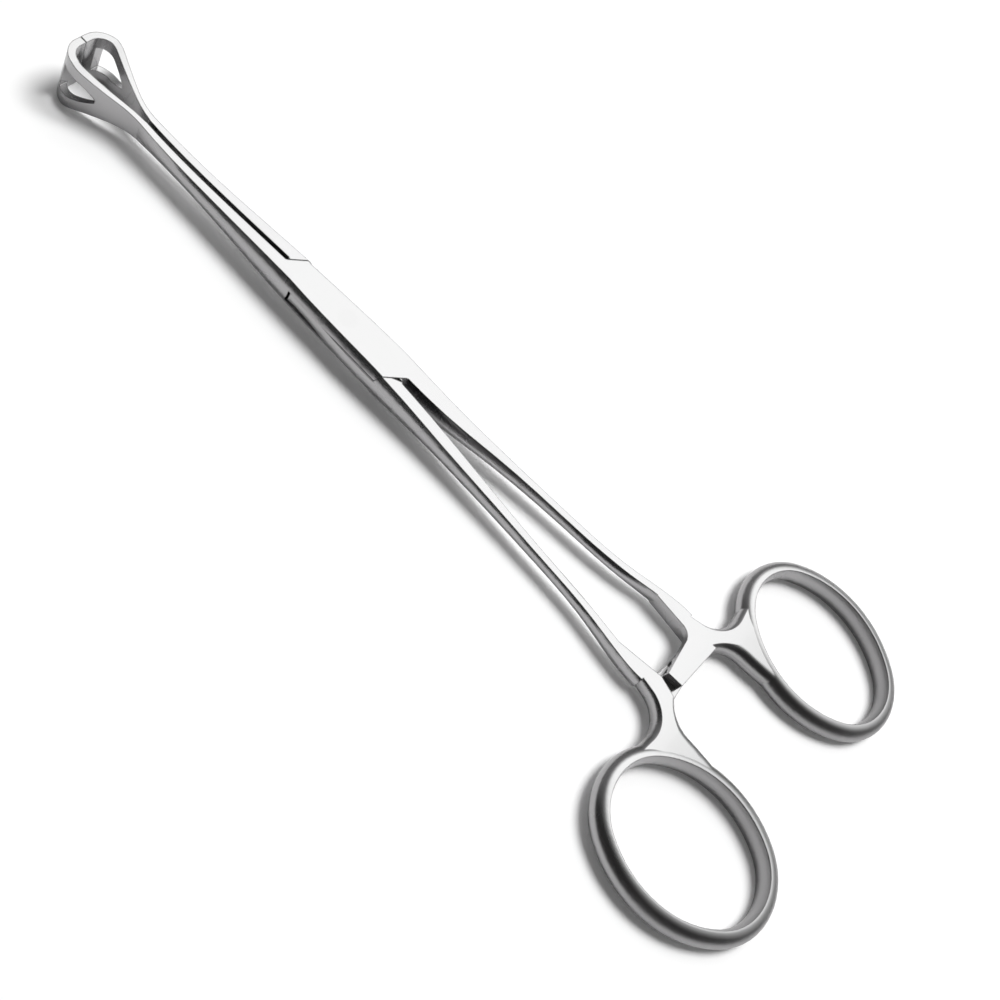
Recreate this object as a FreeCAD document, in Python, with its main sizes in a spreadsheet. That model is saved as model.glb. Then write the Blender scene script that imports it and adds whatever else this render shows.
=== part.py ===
import FreeCAD, Part
import math
import os
from types import SimpleNamespace

from FreeCAD import Placement, Rotation, Vector
from Sketcher import Constraint

# Box-lock tissue forceps with fenestrated jaws, closed, 160 mm long, made as two
# forgings and a riveted pin. X runs along the instrument to the jaw tips, Y across
# it, Z along the pin. The pin's axis is the origin and the ground underside of the
# lock is z = 0. Both halves are drawn the same way round, with the jaw at +Y and the
# finger ring at -Y, and the tongue half is then turned over about the X axis.

# Name, value in mm (or degrees, or a plain ratio), meaning
DIMENSIONS = [
    ("jaw_reach", 56.5, "pin axis to the tips of the jaws"),
    ("jaw_half_width", 4.5, "half of the jaw's width at the tip, along Z"),
    ("flare_half", 3.2, "half of its width where the flare is steepest"),
    ("flare_setback", 7.0, "tip to that place"),
    ("jaw_wall", 1.2, "thickness of the jaw plate"),
    ("bulb_radius", 2.4, "inner radius of the hollow behind the tip"),
    ("bulb_setback", 3.6, "tip to the centre of that radius"),
    ("bulb_side", 1.0, "instrument axis to the centre of that radius"),
    ("tip_gap", 0.1, "space between the closed tips"),
    ("neck_setback", 14.8, "tip to the narrowest place of the jaw's outside"),
    ("neck_outer", 1.42, "instrument axis to the outside there"),
    ("neck_half", 1.7, "half thickness there, along Z"),
    ("neck_outer_radius", 12.0, "hollow curve of the outside into the neck"),
    ("neck_inner_setback", 16.0, "tip to the end of the inner curve"),
    ("neck_inner_radius", 16.0, "curve of the inside into the neck"),
    ("window_setback", 1.5, "tip to the front edge of the window"),
    ("window_length", 6.1, "front edge of the window to its point"),
    ("window_half", 2.45, "half height of the window's front edge"),
    ("window_point_half", 0.3, "half height of the window's blunt point"),
    ("window_side_radius", 9.0, "curve of the window's two long sides"),
    ("shank_gap_half", 0.35, "instrument axis to the flat inside of a jaw shank"),
    ("fore_reach", 34.0, "pin axis to the slenderest section of the jaw shank"),
    ("fore_outer", 1.62, "outside edge there"),
    ("fore_half", 1.36, "half thickness there"),
    ("swell_reach", 20.5, "pin axis to the section between that and the lock"),
    ("swell_outer", 2.05, "outside edge there"),
    ("swell_half", 1.85, "half thickness there"),
    ("lock_half", 2.42, "half thickness of the box lock over its flat faces"),
    ("lock_crown", 0.03, "height ground off the lock to make them flat"),
    ("lock_reach", 9.0, "pin axis to either end section of the lock"),
    ("lock_fore_outer", 2.53, "outside edge of the flat face at the front section"),
    ("lock_outer", 2.87, "outside edge of the flat face beside the pin"),
    ("lock_rear_outer", 3.12, "outside edge of the flat face at the rear section"),
    ("shoulder_reach", 10.5, "pin axis to a shoulder, at shoulder_side"),
    ("shoulder_side", 2.3, "instrument axis to the place where that is measured"),
    ("shoulder_slant", 0.8, "run of a shoulder along X for each mm across"),
    ("shoulder_gap", 0.12, "hairline between a shoulder and the box plate"),
    ("shoulder_ease", 0.85, "how far the rear shoulder falls away at the inside of its shank"),
    ("shank_relief", 0.14, "distance that a cut in the lock keeps from a shank's face"),
    ("tongue_half", 1.05, "half thickness of the tongue inside the box"),
    ("slide_gap", 0.05, "space between the tongue and each box plate"),
    ("flank_corner_reach", 7.9, "pin axis to the outer corner of a tongue flank"),
    ("flank_corner_side", 3.95, "instrument axis to that corner"),
    ("front_flank_reach", 11.2, "pin axis to the inner end of the front flank"),
    ("rear_flank_reach", 12.4, "pin axis to the inner end of the rear flank"),
    ("flank_gap", 0.5, "space along X between a flank and the box wall"),
    ("pin_diameter", 3.2, "the pivot pin"),
    ("pin_running_gap", 0.03, "radial space between the pin and the tongue"),
    ("root_reach", 12.0, "pin axis to the root section of the handle shank"),
    ("root_outer", 3.2, "outside edge there"),
    ("root_inner", 0.72, "inside edge there, midway between the two halves"),
    ("root_shift", 0.57, "how far each half's inside edge lies from that"),
    ("root_half", 2.3, "half thickness there"),
    ("waist_reach", 20.0, "pin axis to the next section"),
    ("waist_outer", 3.42, "outside edge there"),
    ("waist_inner", 1.15, "inside edge there, midway between the two halves"),
    ("waist_shift", 0.35, "how far each half's inside edge lies from that"),
    ("waist_half", 1.72, "half thickness there"),
    ("upper_reach", 30.0, "pin axis to the next section"),
    ("upper_outer", 3.9, "outside edge there"),
    ("upper_inner", 2.3, "inside edge there"),
    ("upper_half", 1.3, "half thickness there"),
    ("slim_reach", 44.0, "pin axis to the slimmest section"),
    ("slim_outer", 4.75, "outside edge there"),
    ("slim_inner", 3.6, "inside edge there"),
    ("slim_half", 1.02, "half thickness there"),
    ("lower_ahead", 30.5, "middle of the finger opening to the section ahead of the ratchet"),
    ("lower_outer", 6.05, "outside edge there"),
    ("lower_inner", 4.85, "inside edge there"),
    ("lower_half", 1.12, "half thickness there"),
    ("fork_ahead", 19.5, "middle of the finger opening to the section at the ratchet"),
    ("fork_outer", 7.6, "outside edge there"),
    ("fork_inner", 5.4, "inside edge there"),
    ("fork_half", 1.42, "half thickness there"),
    ("side_bulge", 0.39, "bulge of a shank's side, as a share of its half thickness"),
    ("flat_bulge", 0.03, "the same where a side is all but flat"),
    ("web_ahead", 11.5, "middle of the finger opening to the middle of the web"),
    ("web_half", 1.85, "half thickness of the web there"),
    ("web_edge_radius", 1.5, "rounding of the web's long edges"),
    ("web_outer_radius", 5.2, "hollow curve from the shank to the ring's front"),
    ("web_inner_radius", 6.0, "hollow curve from the ratchet to the ring's side"),
    ("web_side_radius", 65.0, "round of the web where it runs out along the ring's side"),
    ("ring_reach", 87.5, "pin axis to the middle of the finger opening"),
    ("ring_side", 21.6, "instrument axis to the middle of the finger opening"),
    ("ring_long_half", 13.8, "half length of the finger opening"),
    ("ring_short_half", 10.8, "half width of the finger opening"),
    ("ring_end_radius", 9.2, "radius of the oval opening's two ends"),
    ("ring_tilt", 5.0, "turn of the ring outwards, in degrees"),
    ("ring_half", 2.0, "half thickness of the ring, along Z"),
    ("ring_width", 2.85, "width of the ring's bar in the instrument's plane"),
    ("ring_inner_bulge", 0.5, "bulge of the bar's inside into the finger opening"),
    ("ring_crest", 0.25, "width of the bar's narrow top and bottom"),
    ("ratchet_behind", 3.9, "section at the ratchet to the middle of the ratchet bar"),
    ("ratchet_root_radius", 2.2, "hollow curve from the shank to the front of the bar"),
    ("ratchet_root_width", 4.2, "width of the bar where it leaves the shank"),
    ("ratchet_end_width", 2.8, "width of the bar at its free end"),
    ("ratchet_overrun", 3.45, "how far the bar crosses the instrument axis"),
    ("ratchet_crest_gap", 0.1, "space between the crests of the two bars"),
    ("tooth_height", 0.55, "height of a ratchet tooth"),
    ("tooth_pitch", 1.6, "spacing of the teeth"),
    ("tooth_share", 0.8, "share of the pitch that is cut away"),
    ("notch_count", 3.0, "notches cut in each bar"),
    ("notch_inset", 0.45, "free end of the bar to the first notch"),
]

class Size(float):
    """A value in mm together with the formula that gives it from the sheet."""

    def __new__(cls, value, formula):
        size = float.__new__(cls, value)
        size.formula = formula
        return size

    def __add__(self, other):
        return Size(float(self) + float(other), "(%s + %s)" % (self.formula, formula_of(other)))

    def __sub__(self, other):
        return Size(float(self) - float(other), "(%s - %s)" % (self.formula, formula_of(other)))

    def __mul__(self, other):
        return Size(float(self) * float(other), "(%s * %s)" % (self.formula, formula_of(other)))

    def __truediv__(self, other):
        return Size(float(self) / float(other), "(%s / %s)" % (self.formula, formula_of(other)))

    def __neg__(self):
        return Size(-float(self), "(-1 * %s)" % self.formula)

    def __radd__(self, other):
        return Size(float(other) + float(self), "(%s + %s)" % (formula_of(other), self.formula))

    def __rsub__(self, other):
        return Size(float(other) - float(self), "(%s - %s)" % (formula_of(other), self.formula))

    def __rmul__(self, other):
        return self * other


def formula_of(value):
    return value.formula if isinstance(value, Size) else repr(float(value))


def root_of(value):
    return Size(math.sqrt(value), "sqrt(%s)" % value.formula)


dim = SimpleNamespace(**{name: Size(value, "dims." + name) for name, value, _meaning in DIMENSIONS})
dim.fork_reach = dim.ring_reach - dim.fork_ahead
dim.lower_reach = dim.ring_reach - dim.lower_ahead
dim.web_reach = dim.ring_reach - dim.web_ahead
dim.ratchet_reach = dim.fork_reach + dim.ratchet_behind

# Sections and outlines are drawn this much taller than the finished part, which is
# then cut to its thickness along one smooth curve.
OVERSIZE = 1.15
# Reach of a cut that goes right through the lock.
THROUGH = 12.0
# Half width of the solid that carries the thickness, past both finger rings.
ENVELOPE_SIDE = 45.0

doc = FreeCAD.newDocument("tissue_forceps")
sheet = doc.addObject("Spreadsheet::Sheet", "dims")
for row, (name, value, meaning) in enumerate(DIMENSIONS, start=1):
    sheet.set("A%d" % row, name)
    sheet.set("B%d" % row, str(value))
    sheet.set("C%d" % row, meaning)
    sheet.setAlias("B%d" % row, name)
doc.recompute()


def drive(item, target, size):
    """Bind a property or a named constraint to a size."""
    if isinstance(size, Size):
        item.setExpression(target, size.formula)


def new_body(name):
    return doc.addObject("PartDesign::Body", name)


def new_sketch(body, name, role, height=None):
    """A sketch on one of the body's origin planes, moved along the plane's normal."""
    plane = [item for item in body.Origin.OriginFeatures if item.Role == role][0]
    sketch = body.newObject("Sketcher::SketchObject", name)
    sketch.AttachmentSupport = [(plane, "")]
    sketch.MapMode = "FlatFace"
    if height is not None:
        drive(sketch, "AttachmentOffset.Base.z", height)
    return sketch


def measure(sketch, constraint, name, size):
    """Add a dimension and bind it."""
    index = sketch.addConstraint(constraint)
    sketch.renameConstraint(index, name)
    drive(sketch, "Constraints." + name, size)


def hold(sketch, curve, end, name, across, up):
    """Hold a point of a curve at two sizes measured from the sketch's origin."""
    for kind, axis, size in (("DistanceX", -2, across), ("DistanceY", -1, up)):
        if abs(size) < 1e-9:
            sketch.addConstraint(Constraint("PointOnObject", curve, end, axis))
        elif size > 0:
            measure(sketch, Constraint(kind, -1, 1, curve, end, float(size)), name + kind[-1], size)
        else:
            measure(sketch, Constraint(kind, curve, end, -1, 1, -float(size)), name + kind[-1], -size)


def arc_between(start, finish, radius):
    """A circular arc that bulges to the right of the way from start to finish."""
    chord = finish - start
    left = Vector(-chord.y, chord.x, 0).normalize()
    depth = math.sqrt(max(float(radius) ** 2 - (chord.Length / 2) ** 2, 0.0))
    centre = (start + finish) * 0.5 + left * depth
    return arc_about(centre, radius, start, finish)


def arc_about(centre, radius, start, finish):
    """The arc that runs anticlockwise about a centre from start to finish."""
    first = math.atan2(start.y - centre.y, start.x - centre.x)
    last = math.atan2(finish.y - centre.y, finish.x - centre.x)
    return Part.ArcOfCircle(Part.Circle(centre, Vector(0, 0, 1), float(radius)), first, last)


def outline(sketch, corners, arcs=None):
    """A closed outline, anticlockwise through its corners. arcs gives the radius of
    each side that is round; a negative one makes the side hollow."""
    arcs = arcs or {}
    points = [Vector(float(across), float(up), 0) for across, up in corners]
    ends = []
    for side, start in enumerate(points):
        finish = points[(side + 1) % len(points)]
        radius = arcs.get(side)
        if radius is None:
            ends.append((sketch.addGeometry(Part.LineSegment(start, finish), False), 1, 2))
        elif radius > 0:
            ends.append((sketch.addGeometry(arc_between(start, finish, radius), False), 1, 2))
        else:
            ends.append((sketch.addGeometry(arc_between(finish, start, -radius), False), 2, 1))
    for side, (curve, _first, last) in enumerate(ends):
        following, first, _last = ends[(side + 1) % len(ends)]
        sketch.addConstraint(Constraint("Coincident", curve, last, following, first))
    for side, (curve, first, _last) in enumerate(ends):
        hold(sketch, curve, first, "corner%d" % side, *corners[side])
    for side, radius in arcs.items():
        size = radius if radius > 0 else -radius
        measure(sketch, Constraint("Radius", ends[side][0], float(size)), "round%d" % side, size)


def pad(body, sketch, name, length, symmetric=False):
    feature = body.newObject("PartDesign::Pad", name)
    feature.Profile = sketch
    feature.Length = float(length)
    drive(feature, "Length", length)
    feature.SideType = "Symmetric" if symmetric else "One side"
    body.Tip = feature
    return feature


def pocket(body, sketch, name, length=THROUGH, symmetric=True, upward=False):
    """Cut both ways from a sketch, or only along its normal or against it, and check
    that something went."""
    doc.recompute()
    before = body.Shape.Volume
    feature = body.newObject("PartDesign::Pocket", name)
    feature.Profile = sketch
    feature.Length = float(length)
    drive(feature, "Length", length)
    feature.SideType = "Symmetric" if symmetric else "One side"
    feature.Reversed = upward
    body.Tip = feature
    doc.recompute()
    if not body.Shape.Volume < before:
        raise RuntimeError(name + " cuts nothing")
    return feature


def loft(body, sketches, name):
    feature = body.newObject("PartDesign::AdditiveLoft", name)
    feature.Profile = sketches[0]
    feature.Sections = sketches[1:]
    body.Tip = feature
    return feature


def side_of_section(edge, half, bulge):
    """Where a round side meets the oversize top, from the edge of the finished flat
    face, and the side's radius. It bulges by a share of the half thickness."""
    radius = half * (1 + bulge * bulge) / (2 * bulge)
    corner = edge + half * bulge - radius + root_of(radius * radius - half * half * OVERSIZE ** 2)
    return corner, radius


def rail_section(body, name, station, toward):
    """One cross-section of a shank, with flat top and bottom and two round sides."""
    reach, inner, outer, half, outer_bulge, inner_bulge = station
    sketch = new_sketch(body, name, "YZ_Plane", reach)
    top = half * OVERSIZE
    outside, outer_radius = side_of_section(outer, half, outer_bulge)
    inside, inner_radius = side_of_section(-inner, half, inner_bulge)
    inside = -inside
    if toward > 0:
        corners = [(inside, -top), (outside, -top), (outside, top), (inside, top)]
    else:
        corners = [(-inside, top), (-outside, top), (-outside, -top), (-inside, -top)]
    outline(sketch, corners, {1: outer_radius, 3: inner_radius})
    return sketch


def rail(body, name, stations, toward):
    """A shank, lofted through its sections."""
    sections = [rail_section(body, "%s_section%d" % (name, index), station, toward)
                for index, station in enumerate(stations)]
    return loft(body, sections, name)


def jaw_plan(sketch):
    """The jaw plate seen along the pin: from the tip round the hollow to the neck and
    back along the inside. Every arc runs smoothly into the straight next to it."""
    d = dim
    wall = float(d.jaw_wall)
    gap = float(d.tip_gap / 2)
    bulb = Vector(float(d.jaw_reach - d.bulb_setback), float(d.bulb_side), 0)
    bulb_in = float(d.bulb_radius)
    neck_out = Vector(float(d.jaw_reach - d.neck_setback), float(d.neck_outer + d.neck_outer_radius), 0)
    neck_in = Vector(float(d.jaw_reach - d.neck_inner_setback),
                     float(d.shank_gap_half + d.neck_inner_radius), 0)
    tip = float(d.jaw_reach)
    end = float(d.fore_reach)

    def straight(first, first_radius, second, second_radius):
        """The ends of the straight that crosses between two circles and touches both."""
        line = second - first
        turn = math.acos((first_radius + second_radius) / line.Length)
        heading = math.atan2(line.y, line.x) - turn
        normal = Vector(math.cos(heading), math.sin(heading), 0)
        return first + normal * first_radius, second - normal * second_radius

    # The outside straight is on the far side of the hollow from the axis, so its
    # touching points are taken with the circles in the order neck, bulb.
    out_b, out_a = straight(neck_out, float(d.neck_outer_radius), bulb, bulb_in + wall)
    in_b, in_a = straight(neck_in, float(d.neck_inner_radius), bulb, bulb_in)
    outer_end = Vector(neck_out.x, float(d.neck_outer), 0)
    inner_end = Vector(neck_in.x, float(d.shank_gap_half), 0)
    front = Vector(tip, bulb.y, 0)
    back = Vector(tip - wall, bulb.y, 0)
    sketch.addGeometry([
        Part.LineSegment(Vector(tip, gap, 0), front),
        arc_about(bulb, bulb_in + wall, front, out_a),
        Part.LineSegment(out_a, out_b),
        arc_about(neck_out, d.neck_outer_radius, outer_end, out_b),
        Part.LineSegment(outer_end, Vector(end, outer_end.y, 0)),
        Part.LineSegment(Vector(end, outer_end.y, 0), Vector(end, inner_end.y, 0)),
        Part.LineSegment(Vector(end, inner_end.y, 0), inner_end),
        arc_about(neck_in, d.neck_inner_radius, inner_end, in_b),
        Part.LineSegment(in_b, in_a),
        arc_about(bulb, bulb_in, back, in_a),
        Part.LineSegment(back, Vector(tip - wall, gap, 0)),
        Part.LineSegment(Vector(tip - wall, gap, 0), Vector(tip, gap, 0)),
    ], False)
    smooth = [(0, 2, 1, 1), (1, 2, 2, 1), (2, 2, 3, 2), (3, 1, 4, 1),
              (6, 2, 7, 1), (7, 2, 8, 1), (8, 2, 9, 2), (9, 1, 10, 1)]
    for joint in smooth:
        sketch.addConstraint(Constraint("Tangent", *joint))
    for joint in [(4, 2, 5, 1), (5, 2, 6, 1), (10, 2, 11, 1), (11, 2, 0, 1)]:
        sketch.addConstraint(Constraint("Coincident", *joint))
    for curve in (0, 5, 10):
        sketch.addConstraint(Constraint("Vertical", curve))
    for curve in (4, 6, 11):
        sketch.addConstraint(Constraint("Horizontal", curve))
    sketch.addConstraint(Constraint("Coincident", 1, 3, 9, 3))
    hold(sketch, 0, 1, "tip", d.jaw_reach, d.tip_gap / 2)
    hold(sketch, 9, 3, "bulb", d.jaw_reach - d.bulb_setback, d.bulb_side)
    measure(sketch, Constraint("DistanceX", 10, 2, 0, 1, wall), "wall", d.jaw_wall)
    hold(sketch, 4, 1, "outer", d.jaw_reach - d.neck_setback, d.neck_outer)
    hold(sketch, 6, 2, "inner", d.jaw_reach - d.neck_inner_setback, d.shank_gap_half)
    measure(sketch, Constraint("Radius", 3, float(d.neck_outer_radius)), "neck_outside", d.neck_outer_radius)
    measure(sketch, Constraint("Radius", 7, float(d.neck_inner_radius)), "neck_inside", d.neck_inner_radius)
    measure(sketch, Constraint("DistanceX", -1, 1, 5, 1, end), "plate_end", d.fore_reach)


def blank(name, shift):
    """One half as it comes from the forge, with jaw, lock, shank, ratchet bar and web,
    before the lock is cut and the thickness is finished. shift moves the inside of
    the handle shank near the lock, where the two halves differ."""
    d = dim
    body = new_body(name)

    core = new_sketch(body, name + "_core_plan", "XY_Plane")
    fore = d.shoulder_reach + d.shoulder_slant * (d.shoulder_side + d.shank_gap_half)
    side = d.lock_fore_outer - 0.4
    outline(core, [(-(d.root_reach + 0.5), -side), (fore, -side), (fore, side), (-(d.root_reach + 0.5), side)])
    pad(body, core, name + "_core", d.lock_half * 2 * OVERSIZE, symmetric=True)

    gap = d.shank_gap_half
    rail(body, name + "_jaw_shank", [
        (-(d.lock_reach + 2), gap, d.lock_rear_outer, d.lock_half, d.side_bulge, d.flat_bulge),
        (d.lock_half * 0, gap, d.lock_outer, d.lock_half, d.side_bulge, d.flat_bulge),
        (d.lock_reach, gap, d.lock_fore_outer, d.lock_half, d.side_bulge, d.flat_bulge),
        (d.swell_reach, gap, d.swell_outer, d.swell_half, d.side_bulge, d.flat_bulge),
        (d.fore_reach, gap, d.fore_outer, d.fore_half, d.side_bulge * 0.8, d.flat_bulge),
        (d.jaw_reach - d.neck_setback, gap, d.neck_outer, d.neck_half, d.flat_bulge, d.flat_bulge),
    ], 1)
    rail(body, name + "_handle_shank", [
        (d.lock_reach + 2, gap, d.lock_fore_outer, d.lock_half, d.side_bulge, d.flat_bulge),
        (d.lock_half * 0, gap, d.lock_outer, d.lock_half, d.side_bulge, d.flat_bulge),
        (-d.root_reach, d.root_inner + d.root_shift * shift, d.root_outer, d.root_half,
         d.side_bulge, d.flat_bulge),
        (-d.waist_reach, d.waist_inner + d.waist_shift * shift, d.waist_outer, d.waist_half,
         d.side_bulge, d.side_bulge * 0.6),
        (-d.upper_reach, d.upper_inner, d.upper_outer, d.upper_half, d.side_bulge, d.side_bulge),
        (-d.slim_reach, d.slim_inner, d.slim_outer, d.slim_half, d.side_bulge, d.side_bulge),
        (-d.lower_reach, d.lower_inner, d.lower_outer, d.lower_half, d.side_bulge, d.side_bulge),
        (-d.fork_reach, d.fork_inner, d.fork_outer, d.fork_half, d.side_bulge, d.side_bulge),
    ], -1)

    plan = new_sketch(body, name + "_jaw_plan", "XY_Plane")
    jaw_plan(plan)
    pad(body, plan, name + "_jaw", d.jaw_half_width * 2, symmetric=True)

    opening = new_sketch(body, name + "_window_outline", "XZ_Plane")
    front = d.jaw_reach - d.window_setback
    point = front - d.window_length
    outline(opening, [(point, -d.window_point_half), (front, -d.window_half),
                      (front, d.window_half), (point, d.window_point_half)],
            {0: d.window_side_radius, 2: d.window_side_radius})
    pocket(body, opening, name + "_window")

    ratchet_bar(body, name)
    return body


def ratchet_bar(body, name):
    """The bar that crosses the axis above the other half's bar, its teeth below."""
    d = dim
    level = d.ratchet_crest_gap / 2
    plan = new_sketch(body, name + "_ratchet_plan", "XY_Plane", level)
    root = -(d.fork_outer - 1.4)
    bend = d.ratchet_root_radius
    front = d.ratchet_reach - d.ratchet_root_width / 2
    outline(plan, [(-(d.ratchet_reach + d.ratchet_root_width / 2), root),
                   (-(front - bend), root),
                   (-(front - bend), 0.4 - d.fork_inner),
                   (-front, bend + 0.4 - d.fork_inner),
                   (-(d.ratchet_reach - d.ratchet_end_width / 2), d.ratchet_overrun),
                   (-(d.ratchet_reach + d.ratchet_end_width / 2), d.ratchet_overrun)],
            {2: -bend})
    pad(body, plan, name + "_ratchet", d.web_half * 1.05 - level)

    first = d.ratchet_overrun - d.notch_inset
    notch = new_sketch(body, name + "_notch_profile", "YZ_Plane", -(d.ratchet_reach + d.ratchet_root_width))
    outline(notch, [(first - d.tooth_pitch * d.tooth_share, level - 0.02), (first, level - 0.02),
                    (first, level + d.tooth_height)])
    cut = pocket(body, notch, name + "_notch", d.ratchet_root_width * 2, symmetric=False, upward=True)
    axis = [item for item in body.Origin.OriginFeatures if item.Role == "Y_Axis"][0]
    teeth = body.newObject("PartDesign::LinearPattern", name + "_teeth")
    teeth.Originals = [cut]
    teeth.Direction = (axis, [""])
    teeth.Reversed = True
    teeth.Mode = "Spacing"
    drive(teeth, "Offset", d.tooth_pitch)
    drive(teeth, "Occurrences", d.notch_count)
    body.Tip = teeth


def web():
    """The flat web that spreads from the shank to the front and side of the ring, and
    runs out along the ring's crest both ways."""
    d = dim
    body = new_body("web")
    half = d.ring_half - 0.1
    start = d.fork_reach - 6
    hollow = d.web_inner_radius
    hollow_reach = d.ring_reach - 8
    hollow_side = d.ring_side - 18
    plan = new_sketch(body, "web_plan", "XY_Plane")
    corners = [
        (-start, -(d.fork_outer - 1.5)),
        (-start, -(d.fork_inner + 0.2)),
        (-(d.fork_reach + 2), -(d.fork_inner - 0.65)),
        (-(hollow_reach - hollow * 0.9), -(hollow_side + hollow * 0.435)),
        (-(hollow_reach - hollow * 0.15), -(hollow_side + hollow * 0.87)),
        (-(d.ring_reach + d.ring_long_half * 0.62), -(d.ring_side - d.ring_short_half * 0.9)),
        (-(d.ring_reach - d.ring_long_half * 0.6), -d.ring_side),
        (-(d.ring_reach - d.ring_long_half - 0.8), -d.ring_side),
        (-(d.ring_reach - d.ring_long_half * 0.99), -(d.ring_side - d.ring_short_half * 0.74)),
        (-(d.fork_reach + 1.8), -(d.fork_outer + 0.5)),
    ]
    outline(plan, corners, {3: -hollow, 4: d.web_side_radius, 8: -d.web_outer_radius})
    block = pad(body, plan, "web_block", half * 2, symmetric=True)
    doc.recompute()
    # The rounding follows the three curves and the straights that touch them.
    curves = ["Edge%d" % number for number, edge in enumerate(block.Shape.Edges, start=1)
              if isinstance(edge.Curve, Part.Circle)]
    rounding = body.newObject("PartDesign::Fillet", "web_rounding")
    rounding.Base = (block, curves)
    rounding.Radius = float(d.web_edge_radius)
    drive(rounding, "Radius", d.web_edge_radius)
    body.Tip = rounding
    opening = new_sketch(body, "web_opening", "XY_Plane")
    tilt(opening, "AttachmentOffset.")
    oval_plan(opening, d.ring_inner_bulge + d.ring_crest)
    pocket(body, opening, "web_opening_cut")
    return body


def tilt(item, prefix=""):
    """Put a sketch or a body at the middle of the finger opening, leaning outwards."""
    d = dim
    place = Placement(Vector(0, 0, 0), Rotation(Vector(0, 0, -1), float(d.ring_tilt)))
    if prefix:
        item.AttachmentOffset = place
    else:
        item.Placement = place
        prefix = "Placement."
    drive(item, prefix + "Base.x", -d.ring_reach)
    drive(item, prefix + "Base.y", -d.ring_side)
    drive(item, prefix + "Rotation.Angle", d.ring_tilt)


def oval_sides(end):
    """Radius of the finger opening's long sides, where its ends have the given one."""
    d = dim
    long_half = d.ring_long_half
    short_half = d.ring_short_half
    return (long_half * long_half + short_half * short_half - long_half * end * 2) / ((short_half - end) * 2)


def oval_plan(sketch, margin):
    """The finger opening, wider all round by a margin: four arcs that meet smoothly."""
    d = dim
    end = d.ring_end_radius
    side = oval_sides(end)
    end_centre = d.ring_long_half - end
    side_centre = side - d.ring_short_half
    between = side - end
    across = end_centre + (end + margin) * end_centre / between
    up = (end + margin) * side_centre / between
    outline(sketch, [(across, -up), (across, up), (-across, up), (-across, -up)],
            {0: end + margin, 1: side + margin, 2: end + margin, 3: side + margin})


def thickness():
    """The solid whose top and bottom give both halves their thickness along X."""
    d = dim
    body = new_body("thickness")
    stations = [
        (d.jaw_reach + 1.5, d.jaw_half_width),
        (d.jaw_reach - d.flare_setback / 2, d.jaw_half_width * 0.967),
        (d.jaw_reach - d.flare_setback, d.flare_half),
        (d.jaw_reach - (d.flare_setback + d.neck_setback) * 0.48, (d.flare_half + d.neck_half) * 0.48),
        (d.jaw_reach - d.neck_setback, d.neck_half),
        (d.fore_reach, d.fore_half),
        (d.swell_reach, d.swell_half),
        (d.lock_reach, d.lock_half + d.lock_crown),
        (-d.lock_reach, d.lock_half + d.lock_crown),
        (-d.root_reach, d.root_half),
        (-d.waist_reach, d.waist_half),
        (-d.upper_reach, d.upper_half),
        (-d.slim_reach, d.slim_half),
        (-d.lower_reach, d.lower_half),
        (-d.fork_reach, d.fork_half),
        (-d.web_reach, d.web_half),
        (-d.ring_reach, d.ring_half + 0.3),
        (-(d.ring_reach + d.ring_long_half + d.ring_width + 1), d.ring_half + 0.3),
    ]
    sections = []
    for index, (reach, half) in enumerate(stations):
        section = new_sketch(body, "thickness_%d" % index, "YZ_Plane", reach)
        outline(section, [(-ENVELOPE_SIDE, -half), (ENVELOPE_SIDE, -half),
                          (ENVELOPE_SIDE, half), (-ENVELOPE_SIDE, half)])
        sections.append(section)
    loft(body, sections, "thickness_loft")
    for name, side in (("ground_top", 1), ("ground_underside", -1)):
        plan = new_sketch(body, name + "_plan", "XY_Plane", d.lock_half * side)
        reach = d.root_reach + 1.5
        outline(plan, [(-reach, -8.0), (reach, -8.0), (reach, 8.0), (-reach, 8.0)])
        pocket(body, plan, name, symmetric=False, upward=side > 0)
    return body


def finger_ring():
    """The finger ring: a bar with a narrow crest, full outside and slightly round
    inside, turned about the four centres of an oval. The whole ring leans away from
    the instrument's axis."""
    d = dim
    body = new_body("finger_ring")
    long_half = d.ring_long_half
    short_half = d.ring_short_half
    end = d.ring_end_radius
    side = oval_sides(end)
    half_turn = math.degrees(math.atan2(side - short_half, long_half - end))
    formula = "2 * atan(%s)" % ((side - short_half) / (long_half - end)).formula
    turn = Size(half_turn * 2, formula)
    rest = Size(180 - half_turn * 2, "180 deg - " + formula)
    ends = ring_turn(body, "ring_end_bar", "XZ_Plane", long_half, end, turn)
    sides = ring_turn(body, "ring_side_bar", "YZ_Plane", short_half, side, rest)
    axis = [item for item in body.Origin.OriginFeatures if item.Role == "Z_Axis"][0]
    whole = body.newObject("PartDesign::PolarPattern", "ring_whole")
    whole.Originals = [ends, sides]
    whole.Axis = (axis, [""])
    whole.Angle = 360
    whole.Occurrences = 2
    body.Tip = whole
    tilt(body)
    return body


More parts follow.
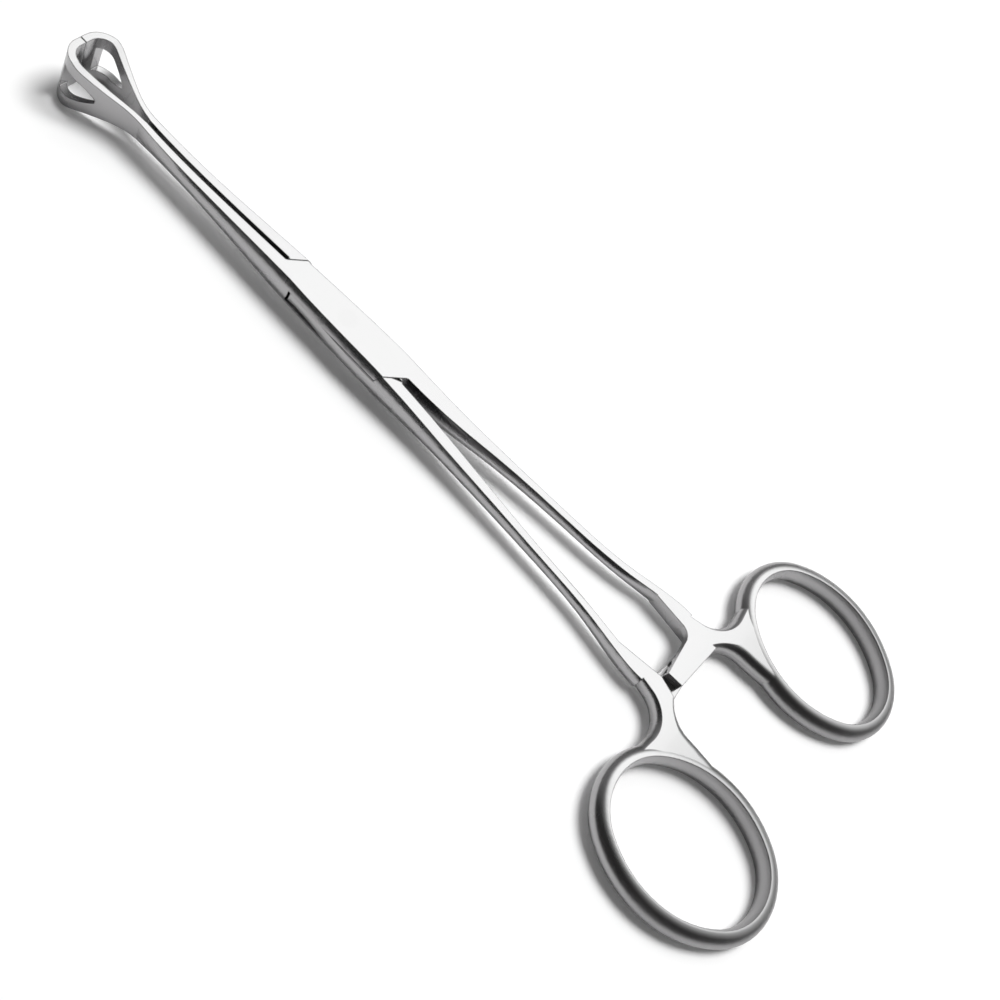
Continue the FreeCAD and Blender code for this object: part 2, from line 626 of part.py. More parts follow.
def ring_turn(body, name, role, edge, radius, angle):
    """One arc of the ring: its section beyond the edge of the opening, turned about
    the arc's centre."""
    d = dim
    inside = d.ring_inner_bulge
    outside = d.ring_width - inside - d.ring_crest
    inner = (d.ring_half * d.ring_half + inside * inside) / (inside * 2)
    outer = (d.ring_half * d.ring_half + outside * outside) / (outside * 2)
    section = new_sketch(body, name + "_section", role)
    outline(section, [(edge + d.ring_crest, -d.ring_half), (edge + d.ring_crest, d.ring_half),
                      (edge, d.ring_half), (edge, -d.ring_half)], {0: outer, 2: inner})
    centre = edge - radius
    axis = section.addGeometry(Part.LineSegment(Vector(float(centre), -1, 0), Vector(float(centre), 1, 0)), True)
    section.addConstraint(Constraint("Vertical", axis))
    hold(section, axis, 1, "centre", centre, d.ring_half * -0.5)
    measure(section, Constraint("Distance", axis, 2.0), "axis", d.ring_half)
    arc = body.newObject("PartDesign::Revolution", name)
    arc.Profile = section
    arc.ReferenceAxis = (section, ["Axis0"])
    arc.Midplane = True
    arc.Angle = float(angle)
    drive(arc, "Angle", angle)
    body.Tip = arc
    return arc


def shoulder(side, turned):
    """X of the front shoulder at a place across the instrument, or of its twin at the
    rear, seen in the frame of the box half or of the tongue half."""
    d = dim
    across = -1 * side if turned else side
    return d.shoulder_reach + d.shoulder_slant * (d.shoulder_side + across)


def flank(side, corner, slope):
    """X of a tongue flank at a place across the instrument."""
    return corner + slope * (dim.flank_corner_side + side)


def cut_box(body):
    """Take the box half's lock down to two plates with a slot between them."""
    d = dim
    gap = d.shank_gap_half
    clear = gap - d.shank_relief
    far = 20.0
    wide = 8.0
    front = new_sketch(body, "box_front_plan", "XY_Plane")
    outline(front, [(shoulder(-wide, False), -wide), (far, -wide), (far, clear), (shoulder(clear, False), clear)])
    pocket(body, front, "box_front_cut")

    inside = -(d.root_inner - d.root_shift - d.shank_relief)
    rear = new_sketch(body, "box_rear_plan", "XY_Plane")
    outline(rear, [(-far, inside), (-shoulder(inside, True), inside), (-shoulder(wide, True), wide), (-far, wide)])
    pocket(body, rear, "box_rear_cut")

    slope_front = (d.front_flank_reach - d.flank_corner_reach) / (d.flank_corner_side + gap)
    slope_rear = (d.rear_flank_reach - d.flank_corner_reach) / (d.flank_corner_side + d.root_inner + d.root_shift)
    corner = d.flank_corner_reach + d.flank_gap
    slot = new_sketch(body, "slot_plan", "XY_Plane")
    outline(slot, [(-flank(-wide, corner, slope_rear), -wide), (far, -wide), (far, -d.tip_gap),
                   (flank(d.tip_gap, corner, slope_front), -d.tip_gap),
                   (flank(-wide, corner, slope_front), wide), (-flank(wide, corner, slope_rear), wide)])
    pocket(body, slot, "slot", (d.tongue_half + d.slide_gap) * 2)
    pin_hole(body, "box", d.pin_diameter)


def cut_tongue(body):
    """Take the tongue half's lock down to the tongue that passes through the slot."""
    d = dim
    gap = d.shank_gap_half
    clear = gap - d.shank_relief
    far = 20.0
    wide = 8.0
    for name, side in (("upper_cheek", 1), ("lower_cheek", -1)):
        cheek = new_sketch(body, name + "_plan", "XY_Plane", d.tongue_half * side)
        inner = d.shank_relief * 2 - d.root_inner - d.root_shift
        outer = inner - 1
        outline(cheek, [(-(shoulder(-wide, False) + d.shoulder_gap), -wide),
                        (shoulder(-wide, True) + d.shoulder_gap, -wide),
                        (shoulder(wide, True) + d.shoulder_gap, wide),
                        (-(shoulder(wide, False) + d.shoulder_gap), wide),
                        (-(shoulder(inner, False) + d.shoulder_gap), inner),
                        (-(shoulder(inner, False) + d.shoulder_gap + d.shoulder_ease), inner),
                        (-(shoulder(outer, False) + d.shoulder_gap), outer)])
        pocket(body, cheek, name + "_cut", symmetric=False, upward=side > 0)

    slope = (d.front_flank_reach - d.flank_corner_reach) / (d.flank_corner_side + gap)
    front = new_sketch(body, "front_flank_plan", "XY_Plane")
    outline(front, [(flank(-wide, d.flank_corner_reach, slope), -wide), (far, -wide), (far, clear),
                    (flank(clear, d.flank_corner_reach, slope), clear)])
    pocket(body, front, "front_flank_cut")

    inside = -(d.root_inner + d.root_shift - d.shank_relief)
    slope = (d.rear_flank_reach - d.flank_corner_reach) / (d.flank_corner_side - inside)
    rear = new_sketch(body, "rear_flank_plan", "XY_Plane")
    outline(rear, [(-far, inside), (-flank(-inside, d.flank_corner_reach, slope), inside),
                   (-flank(-wide, d.flank_corner_reach, slope), wide), (-far, wide)])
    pocket(body, rear, "rear_flank_cut")
    pin_hole(body, "tongue", d.pin_diameter + d.pin_running_gap * 2)


def round_plan(sketch, diameter):
    sketch.addGeometry(Part.Circle(Vector(0, 0, 0), Vector(0, 0, 1), float(diameter) / 2), False)
    sketch.addConstraint(Constraint("Coincident", 0, 3, -1, 1))
    measure(sketch, Constraint("Diameter", 0, float(diameter)), "across", diameter)


def pin_hole(body, name, diameter):
    plan = new_sketch(body, name + "_hole_plan", "XY_Plane")
    round_plan(plan, diameter)
    pocket(body, plan, name + "_hole")


def pivot_pin():
    """The rivet, ground flush with both plates of the box."""
    body = new_body("pivot_pin")
    plan = new_sketch(body, "pin_plan", "XY_Plane")
    round_plan(plan, dim.pin_diameter)
    pad(body, plan, "pin", dim.lock_half * 2)
    return body


def finish(name, body, webbing, envelope, ring, turned):
    """Join the web, cut the half to its thickness, join its ring and set it in its
    place."""
    whole = doc.addObject("Part::Fuse", name + "_with_web")
    whole.Base = body
    whole.Tool = webbing
    cut = doc.addObject("Part::Common", name + "_cut_to_thickness")
    cut.Base = whole
    cut.Tool = envelope
    half = doc.addObject("Part::Fuse", name)
    half.Base = cut
    half.Tool = ring
    half.Label = name
    angle = 180.0 if turned else 0.0
    half.Placement = Placement(Vector(0, 0, float(dim.lock_half)), Rotation(Vector(1, 0, 0), angle))
    drive(half, "Placement.Base.z", dim.lock_half)
    return half


def main():
    envelope = thickness()
    ring = finger_ring()
    webbing = web()
    box = blank("box", -1)
    cut_box(box)
    tongue = blank("tongue", 1)
    cut_tongue(tongue)
    pieces = [
        finish("box_lock_half", box, webbing, envelope, ring, False),
        finish("tongue_half", tongue, webbing, envelope, ring, True),
        pivot_pin(),
    ]
    doc.recompute()
    for item in doc.Objects:
        faults = [state for state in item.State if state in ("Invalid", "Error")]
        if faults:
            raise RuntimeError("%s is %s" % (item.Label, faults))
    os.makedirs("parts", exist_ok=True)
    for piece in pieces:
        shape = piece.Shape
        if shape.isNull() or not shape.isValid() or len(shape.Solids) != 1:
            raise RuntimeError(piece.Label + " is not one valid solid")
        shape.exportStep("parts/%s.step" % piece.Label)
        print(piece.Label, round(shape.Volume, 2), shape.BoundBox)


main()
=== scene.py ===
import math

import bmesh
import bpy
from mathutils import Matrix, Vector


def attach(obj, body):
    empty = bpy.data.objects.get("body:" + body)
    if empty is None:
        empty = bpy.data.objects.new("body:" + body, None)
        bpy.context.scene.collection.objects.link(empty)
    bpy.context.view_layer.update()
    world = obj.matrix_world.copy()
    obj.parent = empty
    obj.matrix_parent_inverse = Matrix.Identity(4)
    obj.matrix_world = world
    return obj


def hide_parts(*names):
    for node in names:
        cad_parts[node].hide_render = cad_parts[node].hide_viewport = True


bl_info = {
    "name": "Tissue Forceps",
    "version": (1, 0, 0),
    "blender": (4, 5, 0),
    "location": "3D View > Sidebar > Forceps",
    "description": "Dresses box-lock tissue forceps in satin steel on a white table",
    "category": "Object",
}

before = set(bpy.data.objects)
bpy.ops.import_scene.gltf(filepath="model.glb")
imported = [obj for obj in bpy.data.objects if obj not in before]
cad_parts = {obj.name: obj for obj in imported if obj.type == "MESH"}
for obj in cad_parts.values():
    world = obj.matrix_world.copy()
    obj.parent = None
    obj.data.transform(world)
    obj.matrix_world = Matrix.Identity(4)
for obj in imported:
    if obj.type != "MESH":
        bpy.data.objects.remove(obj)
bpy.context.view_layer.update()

# Sizes are in metres. The pin's axis is Z and the jaws point to +X.

# A face of the lock's side wall has a normal whose Y is below this.
WALL_FACING = -0.2
# Smaller faces than this many square metres are left over where the wall folds flat.
SPARE_AREA = 1e-12

# Belt marks: stretch of the noise along X, Y and Z, and its scale and detail.
GRAIN_STRETCH = (60.0, 2600.0, 2600.0)
GRAIN_SCALE = 3.0
SMEAR_SCALE = 90.0
NOISE_DETAIL = 3.0
GRAIN_DEPTH = 0.0001
# Size of a normal's Z between which a face turns from side to ground flat.
FLAT_FACING = (0.85, 0.98)
# Places along X between which the lock's finish turns into the rings' satin and painted shade.
SATIN_START = (-0.07, -0.09)
# What the smears do to the colour, as a factor, and to the roughness, as a sum.
SMEAR_TONE = (0.96, 1.04)
SMEAR_RANGE = (0.3, 0.7)
SMEAR_ROUGHNESS = (-0.03, 0.05)
BEVEL_SAMPLES = 6
# Distance from the pin's axis within which edges stay sharp.
PIN_REACH = 0.0022
PIN_SHADE = 0.985

# The table carries the jaws ahead of the first place and the rings behind the second.
JAWS_FROM = 0.045
RINGS_FROM = -0.08
TABLE_GAP = 0.00005

KEY_PLACE = (-0.34, -0.74, 1.83)
# Direction of the pale part of the room, its spread along X, Y and Z, and the
# distances, in that spread, where it begins to show and where it is full.
PALE_CENTRE = (0.06, -0.6, 0.79)
PALE_SPREAD = (0.75, 0.4, 0.4)
PALE_REACH = (1.25, 0.45)
# The rest of the room, from dim to grey between these values of a direction's Y.
GREY_FROM = (0.25, -0.3)
GREY_LEVEL = (0.05, 0.35)

CAMERA_PLACE = (-0.032522, 0.124905, 0.16629)
CAMERA_TURN = (27.502, -25.635, -141.374)
CAMERA_SENSOR = 36.0
CAMERA_CLIP = (0.01, 10.0)


class ForcepsSteel(bpy.types.PropertyGroup):
    """Colour and finish of the forceps' steel."""

    colour: bpy.props.FloatVectorProperty(
        name="Ground Colour",
        description="Reflected colour of the ground top and underside",
        subtype="COLOR", size=3, min=0.0, max=1.0, default=(0.76, 0.76, 0.76))
    # Painted shade: the sides get about half the flats' colour. It stands in for the dim room
    # that they reflect; the steel is the same all round.
    side_painted_shade: bpy.props.FloatVectorProperty(
        name="Side Colour",
        description="Reflected colour of the sides, left duller than the flats",
        subtype="COLOR", size=3, min=0.0, max=1.0, default=(0.37, 0.365, 0.37))
    roughness: bpy.props.FloatProperty(
        name="Ground Roughness",
        description="Roughness of the flats before scuffs and smears",
        subtype="FACTOR", min=0.0, max=1.0, default=0.18)
    side_roughness: bpy.props.FloatProperty(
        name="Side Roughness",
        description="Roughness of the sides before scuffs and smears",
        subtype="FACTOR", min=0.0, max=1.0, default=0.26)
    # Painted shade: the colour lost on the rings darkens them as a dimmer reflection would;
    # only the added roughness is their satin finish.
    satin: bpy.props.FloatProperty(
        name="Ring Satin",
        description="Roughness added and colour lost on the finger rings, left satin",
        subtype="FACTOR", min=0.0, max=1.0, default=0.13)
    edge: bpy.props.FloatProperty(
        name="Edge Rounding",
        description="Radius of the broken edges, as the light shows it",
        subtype="DISTANCE", unit="LENGTH", min=0.0, max=0.001, default=0.00022)
    scratch: bpy.props.FloatProperty(
        name="Scratch Depth",
        description="Strength of the fine marks left by the polishing belt",
        subtype="FACTOR", min=0.0, max=1.0, default=0.08)


class ForcepsLock(bpy.types.PropertyGroup):
    """Side wall of the box lock on the side of the box half's own handle."""

    rear: bpy.props.FloatProperty(
        name="Rear",
        description="Place along the instrument where the wall leaves the handle shank",
        subtype="DISTANCE", unit="LENGTH", default=-0.009)
    front: bpy.props.FloatProperty(
        name="Front",
        description="Place along the instrument where the wall meets the front shoulder",
        subtype="DISTANCE", unit="LENGTH", default=0.00965)
    rear_reach: bpy.props.FloatProperty(
        name="Rear Reach",
        description="Distance of the upper edge from the middle plane at the rear",
        subtype="DISTANCE", unit="LENGTH", min=0.0, default=0.003185)
    front_reach: bpy.props.FloatProperty(
        name="Front Reach",
        description="Distance of the upper edge from the middle plane at the front",
        subtype="DISTANCE", unit="LENGTH", min=0.0, default=0.00226)
    draw_in: bpy.props.FloatProperty(
        name="Draw In",
        description="Power by which the wall draws in from rear to front; 1 is a straight line",
        min=1.0, max=4.0, default=1.4)
    middle: bpy.props.FloatProperty(
        name="Middle",
        description="Height of the wall's crest over the lower flat",
        subtype="DISTANCE", unit="LENGTH", min=0.0, default=0.00242)
    round_radius: bpy.props.FloatProperty(
        name="Round Radius",
        description="Radius of the wall's rounding from edge to edge",
        subtype="DISTANCE", unit="LENGTH", min=0.0025, default=0.00361)
    fuller: bpy.props.FloatProperty(
        name="Fuller",
        description="How much fuller the rounding is at the front than at the rear",
        subtype="FACTOR", min=0.0, max=1.0, default=0.18)
    inner: bpy.props.FloatProperty(
        name="Inner Limit",
        description="Points nearer the middle plane than this belong to other faces",
        subtype="DISTANCE", unit="LENGTH", min=0.0, default=0.00195)


class ForcepsStudio(bpy.types.PropertyGroup):
    """Table, lamp, surroundings and camera."""

    table_colour: bpy.props.FloatVectorProperty(
        name="Table Colour",
        description="Colour of the white table",
        subtype="COLOR", size=3, min=0.0, max=1.0, default=(0.93, 0.93, 0.93))
    table_size: bpy.props.FloatProperty(
        name="Table Size",
        description="Length of the table's side",
        subtype="DISTANCE", unit="LENGTH", min=0.2, default=8.0)
    table_glow: bpy.props.FloatProperty(
        name="Table Glow",
        description="Brightness added to the table as the camera and the steel see it",
        min=0.0, max=1.0, default=0.08)
    lens: bpy.props.FloatProperty(
        name="Lens",
        description="Focal length of the camera in millimetres",
        min=10.0, max=300.0, default=49.57)
    key_power: bpy.props.FloatProperty(
        name="Key Power",
        description="Power of the lamp above and behind the instrument, in watts",
        min=0.0, default=34.5)
    key_size: bpy.props.FloatProperty(
        name="Key Size",
        description="Diameter of that lamp; a larger one softens the shadows",
        subtype="DISTANCE", unit="LENGTH", min=0.01, default=1.0)
    room_level: bpy.props.FloatProperty(
        name="Room Level",
        description="Brightness of the pale part of the room, above and behind",
        min=0.0, default=1.55)


def node(tree, kind, place, **values):
    """Add a shader node at a place in the editor and set its properties."""
    made = tree.nodes.new(kind)
    made.location = place
    for name, value in values.items():
        setattr(made, name, value)
    return made


def ramp(tree, place, value, given=(0.0, 1.0), wanted=(0.0, 1.0), smooth=False):
    """Add a node that maps a value from the given range to the wanted one."""
    kind = "SMOOTHSTEP" if smooth else "LINEAR"
    made = node(tree, "ShaderNodeMapRange", place, interpolation_type=kind)
    made.inputs["From Min"].default_value, made.inputs["From Max"].default_value = given
    made.inputs["To Min"].default_value, made.inputs["To Max"].default_value = wanted
    tree.links.new(value, made.inputs["Value"])
    return made


def arithmetic(tree, place, operation, first, second):
    """Add a maths node on two outputs or numbers."""
    made = node(tree, "ShaderNodeMath", place, operation=operation)
    for socket, term in zip(made.inputs, (first, second)):
        if isinstance(term, bpy.types.NodeSocket):
            tree.links.new(term, socket)
        else:
            socket.default_value = term
    return made


def noise(tree, place, scale, vector):
    """Add a noise texture."""
    made = node(tree, "ShaderNodeTexNoise", place)
    made.inputs["Scale"].default_value = scale
    made.inputs["Detail"].default_value = NOISE_DETAIL
    tree.links.new(vector, made.inputs["Vector"])
    return made


def steel_material(name, settings, shade=1.0):
    """Satin-polished stainless steel: belt marks along the part, soft smears and edges that
    catch the light, with painted shade that darkens the sides and the finger rings."""
    material = bpy.data.materials.new(name)
    material.use_nodes = True
    tree = material.node_tree
    tree.nodes.clear()
    link = tree.links.new
    output = node(tree, "ShaderNodeOutputMaterial", (900, 0))
    shader = node(tree, "ShaderNodeBsdfPrincipled", (600, 0))
    link(shader.outputs["BSDF"], output.inputs["Surface"])
    shader.inputs["Metallic"].default_value = 1.0
    place = node(tree, "ShaderNodeTexCoord", (-900, 0))
    stretched = node(tree, "ShaderNodeMapping", (-720, 0))
    stretched.inputs["Scale"].default_value = GRAIN_STRETCH
    link(place.outputs["Object"], stretched.inputs["Vector"])
    grain = noise(tree, (-500, -150), GRAIN_SCALE, stretched.outputs["Vector"])
    smear = noise(tree, (-500, 200), SMEAR_SCALE, place.outputs["Object"])

    # The ground flats face up or down; all other faces count as sides. The mask sets the
    # roughness of each and paints shade on the sides, which get the darker colour.
    facing = node(tree, "ShaderNodeSeparateXYZ", (-720, 450))
    link(place.outputs["Normal"], facing.inputs["Vector"])
    steep = node(tree, "ShaderNodeMath", (-540, 450), operation="ABSOLUTE")
    link(facing.outputs["Z"], steep.inputs[0])
    flat = ramp(tree, (-360, 450), steep.outputs[0], FLAT_FACING, smooth=True)

    # The rings and webs are finished on a coarser wheel, which leaves them rougher than the
    # lock and the shanks; they are also painted darker, as painted shade.
    along = node(tree, "ShaderNodeSeparateXYZ", (-360, 700))
    link(place.outputs["Object"], along.inputs["Vector"])
    satin = ramp(tree, (-180, 700), along.outputs["X"], SATIN_START, (0.0, settings.satin),
                 smooth=True)

    # Painted shade: the sides' colour is mixed in by facing, so the sides render darker than
    # the flats under any lamp.
    finish = node(tree, "ShaderNodeMix", (0, 350), data_type="RGBA")
    for socket, colour in (("A", settings.side_painted_shade), ("B", settings.colour)):
        finish.inputs[socket].default_value = (*[channel * shade for channel in colour], 1.0)
    link(flat.outputs["Result"], finish.inputs["Factor"])
    fade = ramp(tree, (0, 150), smear.outputs["Fac"], wanted=SMEAR_TONE)
    # Painted shade: the rings' colour is dimmed by the satin amount.
    kept = arithmetic(tree, (0, 600), "SUBTRACT", 1.0, satin.outputs["Result"])
    tone = arithmetic(tree, (150, 500), "MULTIPLY", kept.outputs[0], fade.outputs["Result"])
    tint = node(tree, "ShaderNodeVectorMath", (250, 250), operation="SCALE")
    link(finish.outputs["Result"], tint.inputs[0])
    link(tone.outputs[0], tint.inputs["Scale"])
    link(tint.outputs["Vector"], shader.inputs["Base Color"])

    polish = ramp(tree, (0, 0), flat.outputs["Result"],
                  wanted=(settings.side_roughness, settings.roughness))
    scuff = ramp(tree, (0, -200), smear.outputs["Fac"], SMEAR_RANGE, SMEAR_ROUGHNESS)
    rough = arithmetic(tree, (250, 0), "ADD", polish.outputs["Result"], scuff.outputs["Result"])
    coarser = arithmetic(tree, (400, 0), "ADD", rough.outputs[0], satin.outputs["Result"])
    link(coarser.outputs[0], shader.inputs["Roughness"])

    edge = node(tree, "ShaderNodeBevel", (-200, -400), samples=BEVEL_SAMPLES)
    edge.inputs["Radius"].default_value = settings.edge
    # The pin is ground flush, so the edges round it stay sharp.
    level = node(tree, "ShaderNodeVectorMath", (-720, -500), operation="MULTIPLY")
    level.inputs[1].default_value = (1.0, 1.0, 0.0)
    link(place.outputs["Object"], level.inputs[0])
    reach = node(tree, "ShaderNodeVectorMath", (-540, -500), operation="LENGTH")
    link(level.outputs["Vector"], reach.inputs[0])
    beyond = arithmetic(tree, (-360, -500), "GREATER_THAN", reach.outputs["Value"], PIN_REACH)
    true_normal = node(tree, "ShaderNodeNewGeometry", (-200, -600))
    bend = node(tree, "ShaderNodeMix", (100, -450), data_type="VECTOR")
    link(beyond.outputs[0], bend.inputs["Factor"])
    link(true_normal.outputs["Normal"], bend.inputs["A"])
    link(edge.outputs["Normal"], bend.inputs["B"])
    marks = node(tree, "ShaderNodeBump", (350, -300))
    marks.inputs["Strength"].default_value = settings.scratch
    marks.inputs["Distance"].default_value = GRAIN_DEPTH
    link(grain.outputs["Fac"], marks.inputs["Height"])
    link(bend.outputs["Result"], marks.inputs["Normal"])
    link(marks.outputs["Normal"], shader.inputs["Normal"])
    return material


def wall_at(lock, x, z):
    """Distance of the lock's side wall from the middle plane, and its outward normal."""
    share = min(max((x - lock.rear) / (lock.front - lock.rear), 0.0), 1.0)
    taper = lock.front_reach - lock.rear_reach
    edge = lock.rear_reach + taper * share ** lock.draw_in
    slope = taper * lock.draw_in * share ** (lock.draw_in - 1.0) / (lock.front - lock.rear)
    fullness = 1.0 + lock.fuller * share
    height = lock.middle - z
    depth = math.sqrt(lock.round_radius ** 2 - height ** 2)
    shallow = math.sqrt(lock.round_radius ** 2 - lock.middle ** 2)
    normal = Vector((-slope, -1.0, -fullness * height / depth)).normalized()
    return edge + fullness * (depth - shallow), normal


def even_wall(name, lock):
    """A piece like the node, with the lock's side wall ground to one even line."""
    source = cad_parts[name]
    mesh = source.data.copy()
    normals = [corner.vector.copy() for corner in mesh.corner_normals]
    wall = set()
    for vertex in mesh.vertices:
        x, y, z = vertex.co
        if lock.rear < x < lock.front and y < -lock.inner:
            vertex.co.y = -wall_at(lock, x, z)[0]
            wall.add(vertex.index)
    mesh.update()
    for face in mesh.polygons:
        if face.normal.y > WALL_FACING:
            continue
        for corner in face.loop_indices:
            index = mesh.loops[corner].vertex_index
            if index in wall:
                point = mesh.vertices[index].co
                normals[corner] = wall_at(lock, point.x, point.z)[1]
    mesh.normals_split_custom_set(normals)
    shape = bmesh.new()
    shape.from_mesh(mesh)
    spare = [face for face in shape.faces if face.calc_area() < SPARE_AREA
             or face.normal.y > 0.0 and all(vertex.index in wall for vertex in face.verts)]
    bmesh.ops.delete(shape, geom=spare, context="FACES")
    shape.to_mesh(mesh)
    shape.free()
    piece = bpy.data.objects.new(name + "_even", mesh)
    bpy.context.scene.collection.objects.link(piece)
    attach(piece, "box_side")
    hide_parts(name)
    return piece


def dress(item, material):
    """Give a piece its material."""
    item.data.materials.clear()
    item.data.materials.append(material)


class FORCEPS_OT_box_half(bpy.types.Operator):
    """Even the wall of the half whose lock is the box, and finish it in satin steel"""

    bl_idname = "forceps.box_half"
    bl_label = "Finish Box Half"

    def execute(self, context):
        scene = context.scene
        piece = even_wall("box_lock_half", scene.forceps_lock)
        dress(piece, steel_material("box_half_steel", scene.forceps_steel))
        return {"FINISHED"}


class FORCEPS_OT_tongue_half(bpy.types.Operator):
    """Finish the half whose tongue passes through the box"""

    bl_idname = "forceps.tongue_half"
    bl_label = "Finish Tongue Half"

    def execute(self, context):
        steel = steel_material("tongue_half_steel", context.scene.forceps_steel)
        dress(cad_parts["tongue_half"], steel)
        return {"FINISHED"}


class FORCEPS_OT_pin(bpy.types.Operator):
    """Finish the pivot pin, ground flush with the lock"""

    bl_idname = "forceps.pin"
    bl_label = "Finish Pivot Pin"

    def execute(self, context):
        steel = steel_material("pin_steel", context.scene.forceps_steel, shade=PIN_SHADE)
        dress(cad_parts["pivot_pin"], steel)
        return {"FINISHED"}


def table_plane():
    """The height at the origin and the slope along X of the table, which carries the
    forceps at the jaws' lower corners and under the finger rings."""
    low = {}
    for name in ("box_lock_half", "tongue_half"):
        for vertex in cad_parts[name].data.vertices:
            point = vertex.co
            end = "jaw" if point.x > JAWS_FROM else "ring" if point.x < RINGS_FROM else None
            if end and (end not in low or point.z < low[end].z):
                low[end] = point.copy()
    jaw = low["jaw"]
    ring = low["ring"]
    slope = (jaw.z - ring.z) / (jaw.x - ring.x)
    return jaw.z - slope * jaw.x - TABLE_GAP, slope


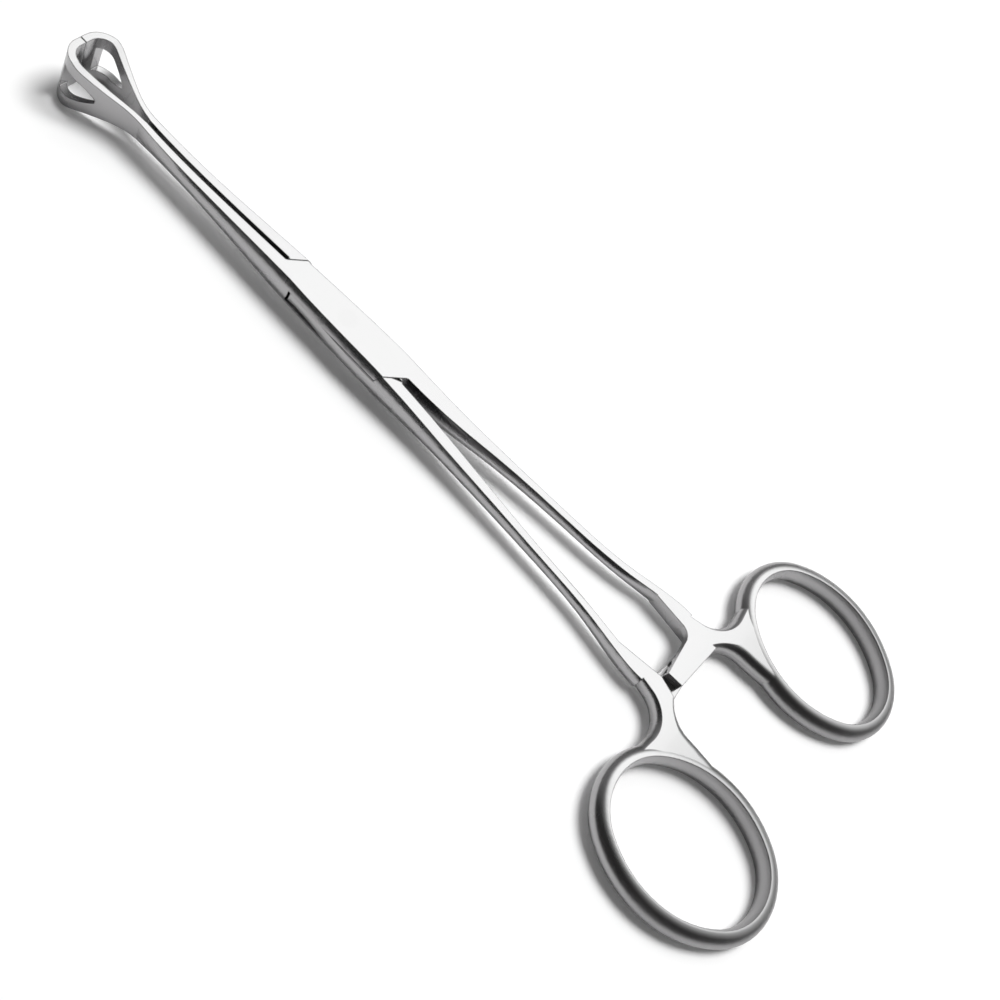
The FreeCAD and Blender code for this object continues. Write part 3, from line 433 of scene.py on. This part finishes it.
class FORCEPS_OT_stage(bpy.types.Operator):
    """Set the table, the lamp, the surroundings and the camera"""

    bl_idname = "forceps.stage"
    bl_label = "Set Stage"

    def execute(self, context):
        scene = context.scene
        studio = scene.forceps_studio
        self.table(scene, studio)
        self.lamp(scene, studio)
        self.surroundings(scene, studio)
        self.camera(scene, studio)
        scene.view_settings.view_transform = "Standard"
        return {"FINISHED"}

    def table(self, scene, studio):
        height, slope = table_plane()
        half = studio.table_size / 2
        mesh = bpy.data.meshes.new("table")
        corners = [(x, y, height + slope * x) for x, y in
                   ((-half, -half), (half, -half), (half, half), (-half, half))]
        mesh.from_pydata(corners, [], [(0, 1, 2, 3)])
        table = bpy.data.objects.new("table", mesh)
        scene.collection.objects.link(table)
        mesh.materials.append(self.table_white(studio))

    def table_white(self, studio):
        """A matt white that the camera and the steel see a little brighter than the
        lamp makes it, with the shadows kept."""
        material = bpy.data.materials.new("table_white")
        material.use_nodes = True
        tree = material.node_tree
        tree.nodes.clear()
        link = tree.links.new
        output = node(tree, "ShaderNodeOutputMaterial", (900, 0))
        both = node(tree, "ShaderNodeAddShader", (700, 0))
        matt = node(tree, "ShaderNodeBsdfDiffuse", (400, 100))
        matt.inputs["Color"].default_value = (*studio.table_colour, 1.0)
        glow = node(tree, "ShaderNodeEmission", (400, -100))
        path = node(tree, "ShaderNodeLightPath", (-400, 0))
        seen = arithmetic(tree, (-200, 0), "MAXIMUM", path.outputs["Is Camera Ray"],
                          path.outputs["Is Glossy Ray"])
        through = arithmetic(tree, (0, 0), "MAXIMUM", seen.outputs[0],
                             path.outputs["Is Transmission Ray"])
        level = arithmetic(tree, (200, 0), "MULTIPLY", through.outputs[0], studio.table_glow)
        link(level.outputs[0], glow.inputs["Strength"])
        link(matt.outputs[0], both.inputs[0])
        link(glow.outputs[0], both.inputs[1])
        link(both.outputs[0], output.inputs["Surface"])
        return material

    def lamp(self, scene, studio):
        """A round lamp that lights the table. The steel takes its light from the room."""
        place = Vector(KEY_PLACE)
        light = bpy.data.lights.new("key_lamp", "AREA")
        light.shape = "DISK"
        light.size = studio.key_size
        light.energy = studio.key_power
        lamp = bpy.data.objects.new("key_lamp", light)
        lamp.location = place
        lamp.rotation_euler = place.to_track_quat("Z", "Y").to_euler()
        lamp.visible_glossy = False
        scene.collection.objects.link(lamp)

    def surroundings(self, scene, studio):
        """A dim room, greyer behind the instrument, with a long pale field above and
        behind it, which the ground flats reflect."""
        world = bpy.data.worlds.new("studio")
        world.use_nodes = True
        tree = world.node_tree
        tree.nodes.clear()
        link = tree.links.new
        output = node(tree, "ShaderNodeOutputWorld", (600, 0))
        place = node(tree, "ShaderNodeTexCoord", (-700, 0))
        away = node(tree, "ShaderNodeVectorMath", (-500, 0), operation="SUBTRACT")
        away.inputs[1].default_value = PALE_CENTRE
        link(place.outputs["Generated"], away.inputs[0])
        spread = node(tree, "ShaderNodeVectorMath", (-350, 0), operation="DIVIDE")
        spread.inputs[1].default_value = PALE_SPREAD
        link(away.outputs["Vector"], spread.inputs[0])
        distance = node(tree, "ShaderNodeVectorMath", (-200, 0), operation="LENGTH")
        link(spread.outputs["Vector"], distance.inputs[0])
        lean = node(tree, "ShaderNodeSeparateXYZ", (-500, -250))
        link(place.outputs["Generated"], lean.inputs["Vector"])
        grey = ramp(tree, (-350, -250), lean.outputs["Y"], GREY_FROM, GREY_LEVEL, smooth=True)
        pale = ramp(tree, (-50, 0), distance.outputs["Value"], PALE_REACH,
                    (0.0, studio.room_level), smooth=True)
        link(grey.outputs["Result"], pale.inputs["To Min"])
        room = node(tree, "ShaderNodeBackground", (100, 100))
        link(pale.outputs["Result"], room.inputs["Strength"])
        link(room.outputs["Background"], output.inputs["Surface"])
        scene.world = world

    def camera(self, scene, studio):
        data = bpy.data.cameras.new("camera")
        data.lens = studio.lens
        data.sensor_width = CAMERA_SENSOR
        data.clip_start, data.clip_end = CAMERA_CLIP
        camera = bpy.data.objects.new("camera", data)
        camera.location = CAMERA_PLACE
        camera.rotation_euler = [math.radians(angle) for angle in CAMERA_TURN]
        scene.collection.objects.link(camera)
        scene.camera = camera


class FORCEPS_PT_panel(bpy.types.Panel):
    """The forceps' settings and their steps in order"""

    bl_idname = "FORCEPS_PT_panel"
    bl_label = "Tissue Forceps"
    bl_space_type = "VIEW_3D"
    bl_region_type = "UI"
    bl_category = "Forceps"

    def draw(self, context):
        layout = self.layout
        scene = context.scene
        for group in (scene.forceps_steel, scene.forceps_lock, scene.forceps_studio):
            box = layout.box()
            for name in group.__annotations__:
                box.prop(group, name)
        for operator in OPERATORS:
            layout.operator(operator.bl_idname)


OPERATORS = (FORCEPS_OT_box_half, FORCEPS_OT_tongue_half, FORCEPS_OT_pin, FORCEPS_OT_stage)
CLASSES = (ForcepsSteel, ForcepsLock, ForcepsStudio, *OPERATORS, FORCEPS_PT_panel)


def register():
    for item in CLASSES:
        bpy.utils.register_class(item)
    bpy.types.Scene.forceps_steel = bpy.props.PointerProperty(type=ForcepsSteel)
    bpy.types.Scene.forceps_lock = bpy.props.PointerProperty(type=ForcepsLock)
    bpy.types.Scene.forceps_studio = bpy.props.PointerProperty(type=ForcepsStudio)


def unregister():
    del bpy.types.Scene.forceps_studio
    del bpy.types.Scene.forceps_lock
    del bpy.types.Scene.forceps_steel
    for item in reversed(CLASSES):
        bpy.utils.unregister_class(item)


def main():
    register()
    bpy.ops.forceps.box_half()
    bpy.ops.forceps.tongue_half()
    bpy.ops.forceps.pin()
    bpy.ops.forceps.stage()


if __name__ == "__main__":
    main()
